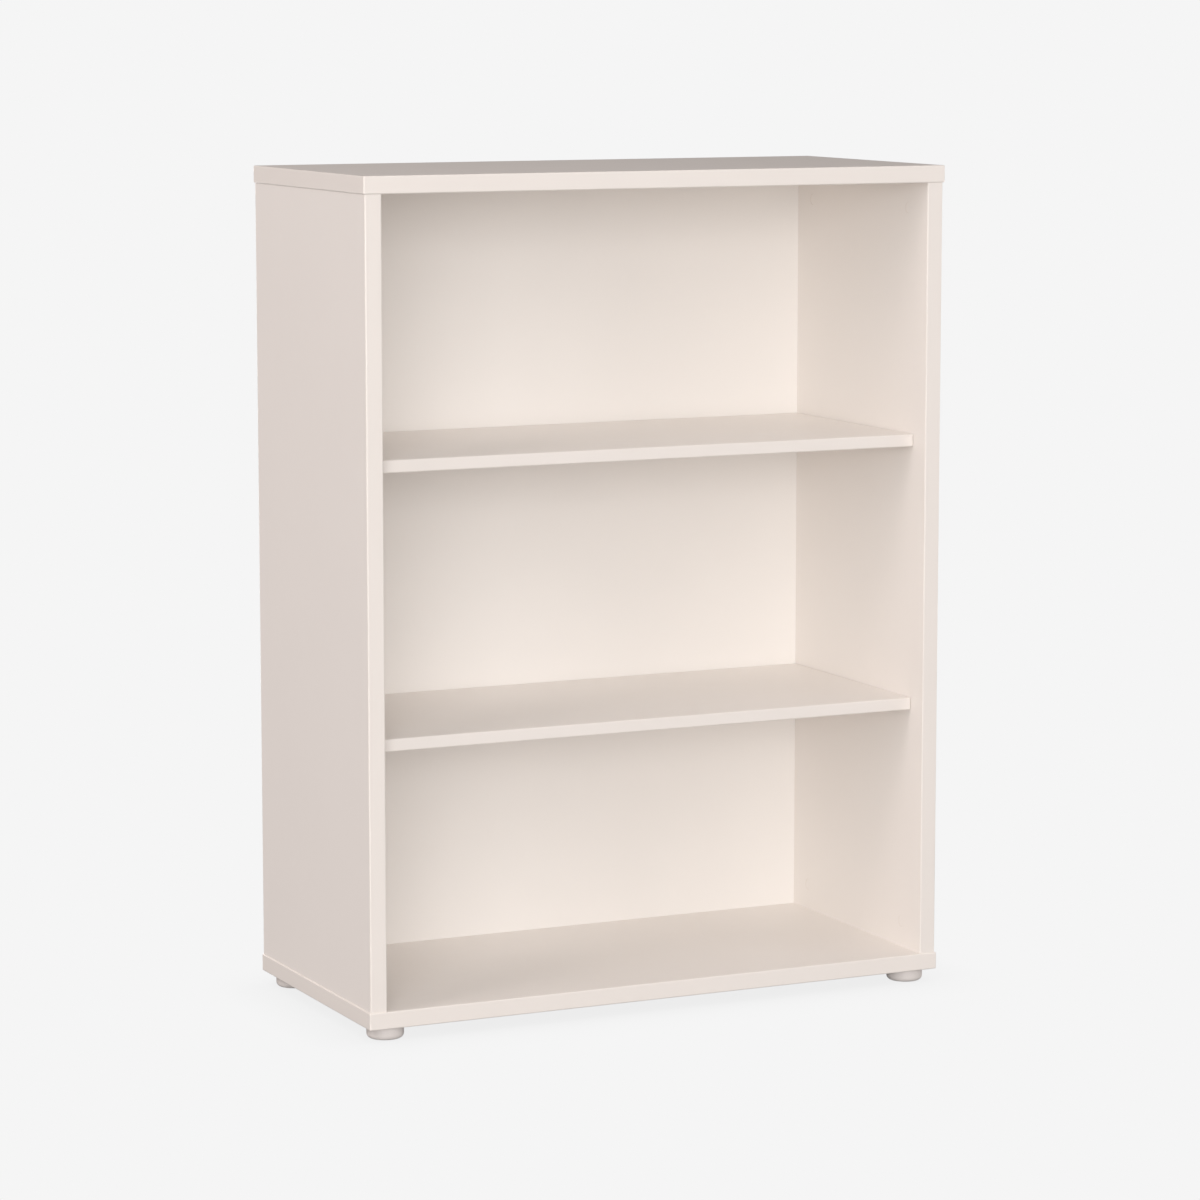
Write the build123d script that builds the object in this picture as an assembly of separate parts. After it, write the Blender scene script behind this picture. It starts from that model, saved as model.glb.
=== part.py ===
"""Open bookcase with three compartments: a knock-down carcass of faced boards on four round feet.

The two side panels stand on the bottom panel and carry the top panel. Each of the four joints is drawn tight
by two cam locks and located by three dowels. A thin back sits in a groove that runs round the carcass, and
two loose shelves lie on pins. Every cut edge of a board is closed by a glued strip of edge band.

Frame: +Z up, the front faces -Y, and the origin is on the floor under the middle of the case. Millimetres.
"""

import os

from build123d import *

# ---- Carcass ----
CASE_WIDTH = 800.0  # over the outer faces of the side panels
CASE_DEPTH = 370.0  # side panels, front edge to rear edge
SIDE_HEIGHT = 1008.0  # side panels, between the bottom and the top panel
BOARD = 22.0  # top, bottom and side panels
OVERHANG = 2.0  # top and bottom panels past the side panels, left, right and front

# ---- Edge band ----
BAND = 2.0  # strips round the top and bottom panels, up the side panels and along a shelf's front
BAND_RADIUS = 1.8  # rounding of a thick strip's outer edges
THIN_BAND = 1.0  # square strips on the ends and the rear of a shelf

# ---- Shelves ----
SHELF_BOARD = 16.0
SHELF_SETBACK = 30.0  # shelf's front edge behind the side panels' front edges
SHELF_END_GAP = 1.0  # between a shelf's end and the side panel
SHELF_BACK_GAP = 0.8  # between a shelf and the back panel
LOWER_CLEAR = 320.0  # clear height under the lower shelf
MIDDLE_CLEAR = 330.0  # clear height between the two shelves

# ---- Back panel and its groove ----
BACK_BOARD = 3.0
BACK_INSET = 15.0  # rear face of the back panel in front of the side panels' rear edges
GROOVE_DEPTH = 8.0
GROOVE_CLEARANCE = 0.2  # on each face of the back panel
GROOVE_END_CLEARANCE = 0.8  # between the back panel's edge and the groove's floor

# ---- Clearances of the fittings ----
HOLE_CLEARANCE = 0.05  # round a thread, a dowel or a pin
HOLE_END_CLEARANCE = 0.9  # past the end of a thread, a dowel or a pin
CAM_CLEARANCE = 0.1  # round a cam or a cover cap in its housing, and round the bolt's head
SLOT_CLEARANCE = 0.4  # between a cam and the bolt's neck, and between a cam and its cover cap

# ---- Cam bolts, screwed into the top and bottom panels ----
THREAD_PITCH = 2.0
THREAD_DEPTH = 0.5
BOLT_THREAD_RADIUS = 3.0
BOLT_THREAD_LENGTH = 11.0
BOLT_COLLAR_RADIUS = 3.9
BOLT_COLLAR_LENGTH = 1.5
BOLT_SHANK_RADIUS = 2.9
BOLT_NECK_RADIUS = 2.1
BOLT_HEAD_RADIUS = 3.4

# ---- Cam locks, in the inner faces of the side panels ----
CAM_END_DISTANCE = 34.0  # cam's axis from the end of the side panel
CAM_FRONT_INSET = 50.0  # front cam behind the side panel's front edge
CAM_REAR_INSET = 60.0  # rear cam before the side panel's rear edge
CAM_HOUSING_RADIUS = 7.5
CAM_CHAMBER_RADIUS = 5.0  # eccentric chamber that holds the bolt's head
CAM_FLOOR = 0.6  # cam's wall below the chamber
CAM_SLOT_SWEEP = 225.0  # degrees that the bolt's neck can run round the cam
CAM_SLOT_LEAD = 45.0  # degrees of the slot past the neck when the cam is tight
CAM_CROSS_LENGTH = 7.0  # driver recess
CAM_CROSS_WIDTH = 1.3
CAM_CROSS_DEPTH = 2.4
CAP_THICKNESS = 1.2

# ---- Dowels ----
DOWEL_RADIUS = 4.0
DOWEL_IN_SIDE = 18.0  # length in the side panel
DOWEL_IN_PANEL = 12.0  # length in the top or bottom panel
DOWEL_CHAMFER = 0.8
DOWEL_FLUTES = 12
DOWEL_FLUTE_RADIUS = 0.4
DOWEL_SPACING = 40.0  # from a cam to the dowel beside it

# ---- Shelf pins ----
PIN_RADIUS = 2.5
PIN_IN_SIDE = 9.0
PIN_REACH = 10.0  # length past the side panel's face
PIN_FLAT_CUT = 0.5  # planed off the top of the pin, where the shelf lies
PIN_COLLAR_RADIUS = 3.8
PIN_COLLAR_GAP = 0.2  # between the pin's collar and the shelf's end
PIN_SHELF_INSET = 55.0  # pins from the shelf's front and rear edges

# ---- Feet ----
FOOT_RADIUS = 23.5
FOOT_HEIGHT = 16.5
FOOT_ROUNDING = 6.0  # lower edge
FOOT_TOP_ROUNDING = 0.8
FOOT_SIDE_INSET = 32.0  # foot's axis from the end of the bottom panel
FOOT_FRONT_INSET = 29.0  # front feet's axes behind the bottom panel's front edge
FOOT_REAR_INSET = 33.0  # rear feet's axes before the bottom panel's rear edge
FOOT_TREAD = 3.0  # width of the flat ring that stands on the floor
FOOT_ROOF = 7.5  # solid top of the foot, over its hollow underside
FOOT_BOSS_RADIUS = 8.0
FOOT_RIBS = 6
FOOT_RIB_WIDTH = 1.8
FOOT_RIB_SETBACK = 2.0  # ribs and boss above the floor

# ---- Screws of the feet ----
SCREW_RADIUS = 2.5
SCREW_IN_PANEL = 15.0
SCREW_SEAT = 9.5  # from the foot's top down to the underside of the screw's head
SCREW_HEAD_RADIUS = 4.6
SCREW_HEAD_HEIGHT = 3.0
SCREW_HEAD_ROUNDING = 1.4
SCREW_HEAD_CLEARANCE = 0.5  # round the head in its counterbore
SCREW_CROSS_LENGTH = 4.4
SCREW_CROSS_WIDTH = 0.9
SCREW_CROSS_DEPTH = 1.8
SCREW_TIP = 2.0  # length of the tapered tip

# ---- Places that follow from the sizes above ----
PANEL_HALF = CASE_WIDTH / 2 + OVERHANG
PANEL_DEPTH = CASE_DEPTH + OVERHANG
FRONT = -PANEL_DEPTH / 2
REAR = PANEL_DEPTH / 2
SIDE_FRONT = FRONT + OVERHANG
SIDE_LOW = FOOT_HEIGHT + BOARD
SIDE_HIGH = SIDE_LOW + SIDE_HEIGHT
OUTER_X = CASE_WIDTH / 2
INNER_X = OUTER_X - BOARD
JOINT_X = OUTER_X - BOARD / 2
BACK_REAR = REAR - BACK_INSET
BACK_FRONT = BACK_REAR - BACK_BOARD
GROOVE_FACES = (BACK_FRONT - GROOVE_CLEARANCE, BACK_REAR + GROOVE_CLEARANCE)
SHELF_HALF = INNER_X - SHELF_END_GAP
SHELF_FRONT = SIDE_FRONT + SHELF_SETBACK
SHELF_REAR = BACK_FRONT - SHELF_BACK_GAP
CAM_PLACES = (SIDE_FRONT + CAM_FRONT_INSET, REAR - CAM_REAR_INSET)
DOWEL_PLACES = (CAM_PLACES[0] + DOWEL_SPACING, sum(CAM_PLACES) / 2, CAM_PLACES[1] - DOWEL_SPACING)
PIN_PLACES = (SHELF_FRONT + PIN_SHELF_INSET, SHELF_REAR - PIN_SHELF_INSET)
FOOT_X = PANEL_HALF - FOOT_SIDE_INSET
FOOT_PLACES = {
    "front_left_foot": (-FOOT_X, FRONT + FOOT_FRONT_INSET),
    "front_right_foot": (FOOT_X, FRONT + FOOT_FRONT_INSET),
    "rear_left_foot": (-FOOT_X, REAR - FOOT_REAR_INSET),
    "rear_right_foot": (FOOT_X, REAR - FOOT_REAR_INSET),
}
SHELVES = {
    "lower_shelf": SIDE_LOW + LOWER_CLEAR,
    "upper_shelf": SIDE_LOW + LOWER_CLEAR + SHELF_BOARD + MIDDLE_CLEAR,
}
SIDES = {"left": -1, "right": 1}
ENDS = {"bottom": -1, "top": 1}

# ---- Sizes of a cam and a pin that follow from what they hold ----
CHAMBER_OFFSET = CAM_CHAMBER_RADIUS - BOLT_HEAD_RADIUS - CAM_CLEARANCE
CHAMBER_HALF_HEIGHT = BOLT_HEAD_RADIUS + SLOT_CLEARANCE
CAM_DEPTH = BOARD / 2 + CHAMBER_HALF_HEIGHT + CAM_FLOOR
PIN_FLAT = PIN_RADIUS - PIN_FLAT_CUT
PIN_COLLAR = SHELF_END_GAP - PIN_COLLAR_GAP


# ---- Plain shapes and locations ----
def block(x0, x1, y0, y1, z0, z1):
    """A box between two planes on each axis."""
    centre = ((x0 + x1) / 2, (y0 + y1) / 2, (z0 + z1) / 2)
    return Pos(*centre) * Box(abs(x1 - x0), abs(y1 - y0), abs(z1 - z0))


def rod(radius, low, high):
    """A cylinder on the Z axis between two heights."""
    return Pos(0, 0, (low + high) / 2) * Cylinder(radius, abs(high - low))


def top_edges(shape):
    return shape.edges().group_by(Axis.Z)[-1]


def bottom_edges(shape):
    return shape.edges().group_by(Axis.Z)[0]


def cross(length, width, low, high):
    """Driver recess: two crossed bars on the Z axis."""
    bar = block(-length / 2, length / 2, -width / 2, width / 2, low, high)
    return bar + Rot(0, 0, 90) * bar


def thread_grooves(radius, low, high):
    """Rings to cut along a threaded length."""
    count = int((high - low) / THREAD_PITCH)
    ring = rod(radius + 1, 0, THREAD_PITCH / 2) - rod(radius - THREAD_DEPTH, 0, THREAD_PITCH / 2)
    return [Pos(0, 0, low + n * THREAD_PITCH) * ring for n in range(count)]


def joint_plane(end):
    """Height where the side panels meet the bottom (-1) or top (1) panel."""
    return SIDE_HIGH if end > 0 else SIDE_LOW


def on_joint(side, y, end):
    """Location on a joint plane, over the middle of a side panel, with +Z out of the side panel."""
    return Pos(side * JOINT_X, y, joint_plane(end)) * Rot(0 if end > 0 else 180, 0, 0)


def in_side(side, y, z):
    """Location on a side panel's inner face, with +Z into the board and +X up."""
    return Pos(side * INNER_X, y, z) * Rot(0, side * 90, 180 if side > 0 else 0)


def in_housing(side, y, end):
    """Location at the mouth of a cam's housing, with +Z into the board and +X towards the joint."""
    return in_side(side, y, joint_plane(end) - end * CAM_END_DISTANCE) * Rot(0, 0, 0 if end > 0 else 180)


# ---- Top and bottom panels ----
def flat_panel_core(low):
    """Top or bottom panel inside its edge band."""
    half = PANEL_HALF - BAND
    return block(-half, half, FRONT + BAND, REAR - BAND, low, low + BOARD)


def flat_panel_bands(name, low):
    """Four strips: the front and rear ones run the full width and cover the ends of the other two."""
    high = low + BOARD
    outer = block(-PANEL_HALF, PANEL_HALF, FRONT, REAR, low, high)
    shell = fillet(outer.edges(), BAND_RADIUS) - flat_panel_core(low)
    half = PANEL_HALF - BAND
    return {
        f"{name}_front_edge_band": shell & block(-PANEL_HALF, PANEL_HALF, FRONT, FRONT + BAND, low, high),
        f"{name}_rear_edge_band": shell & block(-PANEL_HALF, PANEL_HALF, REAR - BAND, REAR, low, high),
        f"{name}_left_edge_band": shell & block(-PANEL_HALF, -half, FRONT + BAND, REAR - BAND, low, high),
        f"{name}_right_edge_band": shell & block(half, PANEL_HALF, FRONT + BAND, REAR - BAND, low, high),
    }


def joint_cuts(end):
    """Groove, bolt holes and dowel holes in the inner face of the top (1) or bottom (-1) panel."""
    plane = joint_plane(end)
    reach = INNER_X + GROOVE_DEPTH
    bolt_hole = rod(BOLT_THREAD_RADIUS + HOLE_CLEARANCE, 0, BOLT_THREAD_LENGTH + HOLE_END_CLEARANCE)
    dowel_hole = rod(DOWEL_RADIUS + HOLE_CLEARANCE, 0, DOWEL_IN_PANEL + HOLE_END_CLEARANCE)
    cuts = [block(-reach, reach, *GROOVE_FACES, plane, plane + end * GROOVE_DEPTH)]
    for side in SIDES.values():
        cuts += [on_joint(side, y, end) * bolt_hole for y in CAM_PLACES]
        cuts += [on_joint(side, y, end) * dowel_hole for y in DOWEL_PLACES]
    return cuts


def top_panel():
    return flat_panel_core(SIDE_HIGH) - joint_cuts(1)


def bottom_panel():
    """The bottom panel is also bored from below, for the screws of the feet."""
    screw_hole = rod(SCREW_RADIUS + HOLE_CLEARANCE, 0, SCREW_IN_PANEL + HOLE_END_CLEARANCE)
    screw_holes = [Pos(x, y, FOOT_HEIGHT) * screw_hole for x, y in FOOT_PLACES.values()]
    return flat_panel_core(FOOT_HEIGHT) - joint_cuts(-1) - screw_holes


# ---- Side panels ----
def side_panel(side):
    """A side panel is grooved for the back, and bored in its ends and in its inner face."""
    inner, outer = side * INNER_X, side * OUTER_X
    bolt_hole = rod(BOLT_COLLAR_RADIUS + CAM_CLEARANCE, -CAM_END_DISTANCE, 0)
    dowel_hole = rod(DOWEL_RADIUS + HOLE_CLEARANCE, -DOWEL_IN_SIDE - HOLE_END_CLEARANCE, 0)
    housing = rod(CAM_HOUSING_RADIUS, 0, CAM_DEPTH + CAM_CLEARANCE)
    pin_hole = rod(PIN_RADIUS + HOLE_CLEARANCE, 0, PIN_IN_SIDE + HOLE_END_CLEARANCE)
    cuts = [block(inner, inner + side * GROOVE_DEPTH, *GROOVE_FACES, SIDE_LOW, SIDE_HIGH)]
    for end in ENDS.values():
        cuts += [on_joint(side, y, end) * bolt_hole for y in CAM_PLACES]
        cuts += [on_joint(side, y, end) * dowel_hole for y in DOWEL_PLACES]
        cuts += [in_housing(side, y, end) * housing for y in CAM_PLACES]
    for low in SHELVES.values():
        cuts += [in_side(side, y, low - PIN_FLAT) * pin_hole for y in PIN_PLACES]
    return block(inner, outer, SIDE_FRONT + BAND, REAR - BAND, SIDE_LOW, SIDE_HIGH) - cuts


def side_bands(name, side):
    """Two strips, up the front and the rear edge of a side panel."""
    faces = (side * INNER_X, side * OUTER_X)
    outer = block(*faces, SIDE_FRONT, REAR, SIDE_LOW, SIDE_HIGH)
    outer = fillet(outer.edges().filter_by(Axis.Z), BAND_RADIUS)
    return {
        f"{name}_front_edge_band": outer & block(*faces, SIDE_FRONT, SIDE_FRONT + BAND, SIDE_LOW, SIDE_HIGH),
        f"{name}_rear_edge_band": outer & block(*faces, REAR - BAND, REAR, SIDE_LOW, SIDE_HIGH),
    }


# ---- Back panel ----
def back_panel():
    """One sheet that reaches into the groove of all four carcass panels."""
    reach = GROOVE_DEPTH - GROOVE_END_CLEARANCE
    half = INNER_X + reach
    return block(-half, half, BACK_FRONT, BACK_REAR, SIDE_LOW - reach, SIDE_HIGH + reach)


# ---- Shelves ----
def shelf_core(low):
    """A shelf inside its edge band."""
    half = SHELF_HALF - THIN_BAND
    return block(-half, half, SHELF_FRONT + BAND, SHELF_REAR - THIN_BAND, low, low + SHELF_BOARD)


def shelf_bands(name, low):
    """A thick rounded strip on the front, and thin square ones on the rear and the ends."""
    high = low + SHELF_BOARD
    half = SHELF_HALF - THIN_BAND
    front, rear = SHELF_FRONT + BAND, SHELF_REAR - THIN_BAND
    strip = block(-SHELF_HALF, SHELF_HALF, SHELF_FRONT, front, low, high)
    strip = fillet(strip.faces().sort_by(Axis.Y)[0].edges(), BAND_RADIUS)
    return {
        f"{name}_front_edge_band": strip,
        f"{name}_rear_edge_band": block(-SHELF_HALF, SHELF_HALF, rear, SHELF_REAR, low, high),
        f"{name}_left_edge_band": block(-SHELF_HALF, -half, front, rear, low, high),
        f"{name}_right_edge_band": block(half, SHELF_HALF, front, rear, low, high),
    }


def shelf_pin():
    """Pin from the side panel's face at 0 into the board at +Z, planed flat at +X where the shelf lies."""
    pin = rod(PIN_RADIUS, -PIN_REACH, PIN_IN_SIDE)
    cut = block(PIN_FLAT, PIN_RADIUS + 1, -PIN_RADIUS, PIN_RADIUS, -PIN_REACH, -PIN_COLLAR)
    return pin - cut + rod(PIN_COLLAR_RADIUS, -PIN_COLLAR, 0)


def shelf_pins(low):
    """The four pins under one shelf."""
    pin = shelf_pin()
    return [in_side(side, y, low - PIN_FLAT) * pin for side in SIDES.values() for y in PIN_PLACES]


# ---- Joint fittings ----
def cam_lock():
    """Cam under its cover cap, turned tight, with the bolt's head in its chamber and the neck along +X."""
    radius = CAM_HOUSING_RADIUS - CAM_CLEARANCE
    middle = BOARD / 2
    face = CAP_THICKNESS + SLOT_CLEARANCE
    cam = rod(radius, face, CAM_DEPTH)
    chamber = rod(CAM_CHAMBER_RADIUS, middle - CHAMBER_HALF_HEIGHT, middle + CHAMBER_HALF_HEIGHT)
    slot_inner = CAM_CHAMBER_RADIUS - CHAMBER_OFFSET - SLOT_CLEARANCE
    slot_outer = radius + 1
    slot_height = 2 * (BOLT_NECK_RADIUS + SLOT_CLEARANCE)
    profile = Pos((slot_inner + slot_outer) / 2, middle) * Rectangle(slot_outer - slot_inner, slot_height)
    slot = Rot(0, 0, -CAM_SLOT_LEAD) * revolve(Plane.XZ * profile, Axis.Z, CAM_SLOT_SWEEP)
    entry = Pos(0, 0, middle) * Rot(0, -90, 0) * rod(BOLT_HEAD_RADIUS + CAM_CLEARANCE, 0, slot_outer)
    cam -= Pos(-CHAMBER_OFFSET, 0, 0) * chamber
    cam -= slot
    cam -= entry
    return cam - cross(CAM_CROSS_LENGTH, CAM_CROSS_WIDTH, face, face + CAM_CROSS_DEPTH)


def cover_cap():
    """Disc that closes a cam's housing, flush with the board."""
    cap = rod(CAM_HOUSING_RADIUS - CAM_CLEARANCE, 0, CAP_THICKNESS)
    return chamfer(top_edges(cap), CAP_THICKNESS / 4)


def cam_bolt():
    """Bolt with its thread above the joint plane at 0 and its ball head in the cam below."""
    cam_edge = CAM_END_DISTANCE - CAM_HOUSING_RADIUS
    thread = rod(BOLT_THREAD_RADIUS, 0, BOLT_THREAD_LENGTH)
    thread = chamfer(top_edges(thread), THREAD_DEPTH)
    thread -= thread_grooves(BOLT_THREAD_RADIUS, THREAD_PITCH, BOLT_THREAD_LENGTH - THREAD_PITCH)
    collar = rod(BOLT_COLLAR_RADIUS, -BOLT_COLLAR_LENGTH, 0)
    shank = rod(BOLT_SHANK_RADIUS, -cam_edge, -BOLT_COLLAR_LENGTH)
    neck = rod(BOLT_NECK_RADIUS, -CAM_END_DISTANCE, -cam_edge)
    head = Pos(0, 0, -CAM_END_DISTANCE) * Sphere(BOLT_HEAD_RADIUS)
    return thread + collar + shank + neck + head


def dowel():
    """Fluted dowel across the joint plane at 0."""
    peg = rod(DOWEL_RADIUS, -DOWEL_IN_SIDE, DOWEL_IN_PANEL)
    peg = chamfer(peg.edges().filter_by(GeomType.CIRCLE), DOWEL_CHAMFER)
    flute = rod(DOWEL_FLUTE_RADIUS, -DOWEL_IN_SIDE, DOWEL_IN_PANEL)
    return peg - [place * flute for place in PolarLocations(DOWEL_RADIUS, DOWEL_FLUTES)]


def joint_fittings(name, side, end):
    """Everything that holds one end of a side panel to the top or bottom panel."""
    lock, cap, bolt, peg = cam_lock(), cover_cap(), cam_bolt(), dowel()
    return {
        f"{name}_cam_locks": [in_housing(side, y, end) * lock for y in CAM_PLACES],
        f"{name}_cover_caps": [in_housing(side, y, end) * cap for y in CAM_PLACES],
        f"{name}_cam_bolts": [on_joint(side, y, end) * bolt for y in CAM_PLACES],
        f"{name}_dowels": [on_joint(side, y, end) * peg for y in DOWEL_PLACES],
    }


# ---- Feet ----
def foot():
    """Moulded foot on the Z axis, standing on 0: ribbed and hollow below, with a boss for its screw."""
    roof = FOOT_HEIGHT - FOOT_ROOF
    hollow_radius = FOOT_RADIUS - FOOT_ROUNDING - FOOT_TREAD
    half_rib = FOOT_RIB_WIDTH / 2
    body = rod(FOOT_RADIUS, 0, FOOT_HEIGHT)
    body = fillet(bottom_edges(body), FOOT_ROUNDING)
    body = fillet(top_edges(body), FOOT_TOP_ROUNDING)
    rib = block(0, hollow_radius, -half_rib, half_rib, FOOT_RIB_SETBACK, roof)
    ribs = [Rot(0, 0, n * 360 / FOOT_RIBS) * rib for n in range(FOOT_RIBS)]
    hollow = rod(hollow_radius, 0, roof) - rod(FOOT_BOSS_RADIUS, FOOT_RIB_SETBACK, roof) - ribs
    counterbore = rod(SCREW_HEAD_RADIUS + SCREW_HEAD_CLEARANCE, 0, FOOT_HEIGHT - SCREW_SEAT)
    return body - hollow - counterbore - rod(SCREW_RADIUS + HOLE_CLEARANCE, 0, FOOT_HEIGHT)


def foot_screw():
    """Screw of a foot on the Z axis, its head seated in the foot and its tip in the bottom panel."""
    seat = FOOT_HEIGHT - SCREW_SEAT
    tip = FOOT_HEIGHT + SCREW_IN_PANEL
    shank = rod(SCREW_RADIUS, seat, tip - SCREW_TIP)
    shank -= thread_grooves(SCREW_RADIUS, FOOT_HEIGHT, tip - SCREW_TIP)
    point = Cone(SCREW_RADIUS, THREAD_DEPTH, SCREW_TIP)
    head = rod(SCREW_HEAD_RADIUS, seat - SCREW_HEAD_HEIGHT, seat)
    head = fillet(bottom_edges(head), SCREW_HEAD_ROUNDING)
    low = seat - SCREW_HEAD_HEIGHT
    recess = cross(SCREW_CROSS_LENGTH, SCREW_CROSS_WIDTH, low, low + SCREW_CROSS_DEPTH)
    return shank + Pos(0, 0, tip - SCREW_TIP / 2) * point + head - recess


# ---- The whole bookcase ----
def build():
    """Every node of the bookcase by name."""
    nodes = {
        "top_panel": top_panel(),
        "bottom_panel": bottom_panel(),
        "back_panel": back_panel(),
    }
    nodes |= flat_panel_bands("top_panel", SIDE_HIGH)
    nodes |= flat_panel_bands("bottom_panel", FOOT_HEIGHT)
    for side_name, side in SIDES.items():
        nodes[f"{side_name}_side_panel"] = side_panel(side)
        nodes |= side_bands(f"{side_name}_side", side)
        for end_name, end in ENDS.items():
            nodes |= joint_fittings(f"{end_name}_{side_name}", side, end)
    for name, low in SHELVES.items():
        nodes[name] = shelf_core(low)
        nodes |= shelf_bands(name, low)
        nodes[f"{name}_pins"] = shelf_pins(low)
    for name, (x, y) in FOOT_PLACES.items():
        nodes[name] = Pos(x, y, 0) * foot()
    nodes["foot_screws"] = [Pos(x, y, 0) * foot_screw() for x, y in FOOT_PLACES.values()]
    return nodes


def write(nodes):
    """One STEP file for each node, in parts/."""
    os.makedirs("parts", exist_ok=True)
    for name, shapes in nodes.items():
        group = shapes if isinstance(shapes, list) else [shapes]
        solids = [solid for shape in group for solid in shape.solids()]
        export_step(solids[0] if len(solids) == 1 else Compound(children=solids), f"parts/{name}.step")


write(build())
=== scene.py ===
import math

import bmesh
import bpy
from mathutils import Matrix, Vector


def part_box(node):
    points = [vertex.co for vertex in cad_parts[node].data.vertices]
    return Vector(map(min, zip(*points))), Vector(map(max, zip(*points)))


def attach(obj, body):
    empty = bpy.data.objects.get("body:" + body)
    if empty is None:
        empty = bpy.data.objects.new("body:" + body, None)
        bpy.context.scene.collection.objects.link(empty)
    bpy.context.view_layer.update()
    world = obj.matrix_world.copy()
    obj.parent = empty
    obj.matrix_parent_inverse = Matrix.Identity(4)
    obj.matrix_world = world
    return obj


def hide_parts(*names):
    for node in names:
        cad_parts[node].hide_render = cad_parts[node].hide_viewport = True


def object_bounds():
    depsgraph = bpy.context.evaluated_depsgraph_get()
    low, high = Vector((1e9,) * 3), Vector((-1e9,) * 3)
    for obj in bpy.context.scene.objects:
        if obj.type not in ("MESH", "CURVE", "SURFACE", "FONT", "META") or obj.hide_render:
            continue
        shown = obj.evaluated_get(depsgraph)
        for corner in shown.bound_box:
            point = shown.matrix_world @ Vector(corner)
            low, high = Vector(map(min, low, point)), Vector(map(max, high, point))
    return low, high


# A flat-pack bookcase in cream melamine. The boards, back, dowels, cam locks and cam bolts keep the
# frame's shapes and only get their finishes. The edge strips, feet, foot screws, shelf pins and cover caps
# are modelled here.

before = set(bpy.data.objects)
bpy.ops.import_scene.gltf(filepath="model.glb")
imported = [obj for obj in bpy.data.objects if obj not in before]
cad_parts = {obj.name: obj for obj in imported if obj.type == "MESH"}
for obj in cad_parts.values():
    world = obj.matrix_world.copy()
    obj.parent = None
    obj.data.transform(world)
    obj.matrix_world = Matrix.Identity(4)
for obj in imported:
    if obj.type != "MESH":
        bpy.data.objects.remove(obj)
CAD_LOW, CAD_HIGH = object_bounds()

MM = 0.001
X, Y, Z = 0, 1, 2
TINY = 0.01 * MM  # places nearer than this are the same
SQUARE_ON = 0.9  # how much of its normal a face has along an axis when it counts as facing that way
SMOOTH_ANGLE = 35  # degrees; edges that turn more than this stay crisp

# ---- Edge strips ----
STRIP_ROUNDING = 1.8 * MM  # outer edges of a thick strip
STRIP_ROUNDING_STEPS = 6
THIN_STRIP_ROUNDING = 0.3 * MM  # outer edges of a strip too thin for that
THIN_STRIP_ROUNDING_STEPS = 2
GLUE_LINE = 0.12 * MM  # hairline groove where a strip meets its board

# ---- Feet ----
FOOT_SIDES = 96
FOOT_ROUNDING = 6.0 * MM  # lower rim
FOOT_ROUNDING_STEPS = 10
FOOT_TOP_ROUNDING = 1.8 * MM
FOOT_TOP_ROUNDING_STEPS = 3
FOOT_SMOOTH_ANGLE = 40  # degrees
FOOT_TREAD = 3.0 * MM  # width of the ring that stands on the floor
FOOT_ROOF = 7.5 * MM  # thickness of the solid top over the hollow
FOOT_BOSS_RADIUS = 8.0 * MM
FOOT_RIBS = 6
FOOT_RIB_WIDTH = 1.8 * MM
FOOT_RIB_SETBACK = 2.0 * MM  # the ribs and the boss end this far above the floor
FOOT_RIB_OVERLAP = 0.6 * MM  # how far a rib runs into the boss, the wall and the roof
COUNTERBORE_RADIUS = 5.1 * MM
COUNTERBORE_ROOF = 7.0 * MM  # height of the screw's seat above the floor
SCREW_HOLE_RADIUS = 2.55 * MM

# ---- Foot screws ----
SCREW_SIDES = 48
SCREW_HEAD_RADIUS = 4.6 * MM
SCREW_HEAD_HEIGHT = 3.0 * MM
SCREW_HEAD_ROUNDING = 1.4 * MM
SCREW_HEAD_ROUNDING_STEPS = 5
SCREW_CORE_RADIUS = 1.9 * MM
SCREW_THREAD_RADIUS = 2.5 * MM
SCREW_THREAD_PITCH = 2.0 * MM
SCREW_CREST = SCREW_THREAD_RADIUS / SCREW_CORE_RADIUS  # radius of the crest over the core's
SCREW_THREAD = (  # share of the pitch that each stretch rises, and how its radius grows
    (0.35, 1.0),  # core
    (0.15, SCREW_CREST),  # steep flank, outwards
    (0.15, 1.0),  # crest
    (0.35, 1 / SCREW_CREST),  # long flank, back in
)
SCREW_POINT = 0.2  # radius of the tip, as a share of the core's
SCREW_RECESS_LENGTH = 4.4 * MM
SCREW_RECESS_WIDTH = 0.9 * MM
SCREW_RECESS_DEPTH = 1.8 * MM

# ---- Shelf pins ----
PIN_SIDES = 48
PIN_RADIUS = 2.5 * MM
PIN_FLAT = 2.0 * MM  # planed top above the pin's axis
PIN_COLLAR_RADIUS = 3.8 * MM
PIN_COLLAR = 0.8 * MM
PIN_REACH = 10.0 * MM  # out of the side panel's face
PIN_IN_SIDE = 9.0 * MM
PIN_NOSE_ROUNDING = 0.6 * MM
PIN_ROOT_ROUNDING = 0.3 * MM
PIN_ROUNDING_STEPS = 3

# ---- Cover caps ----
CAP_SIDES = 64
CAP_RIM_ROUNDING = 0.25 * MM
CAP_ROUNDING_STEPS = 3
CAP_DISH_INSET = 1.2 * MM
CAP_DISH_SLOPE = 0.24 * MM  # width of the dish's sloping edge
CAP_DISH_DEPTH = 0.12 * MM

# ---- Finishes, linear colours ----
CREAM = (0.85, 0.79, 0.732)
STRIP_CREAM = (0.827, 0.761, 0.698)
BACK_CREAM = (0.83, 0.784, 0.731)
FOOT_CREAM = (0.64, 0.59, 0.555)  # darker than the boards
CHIPBOARD = (0.50, 0.37, 0.235)
BEECH = (0.66, 0.46, 0.29)
ZINC = (0.56, 0.57, 0.58)
PLATED_STEEL = (0.66, 0.67, 0.68)
NICKEL = (0.70, 0.68, 0.64)

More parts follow.
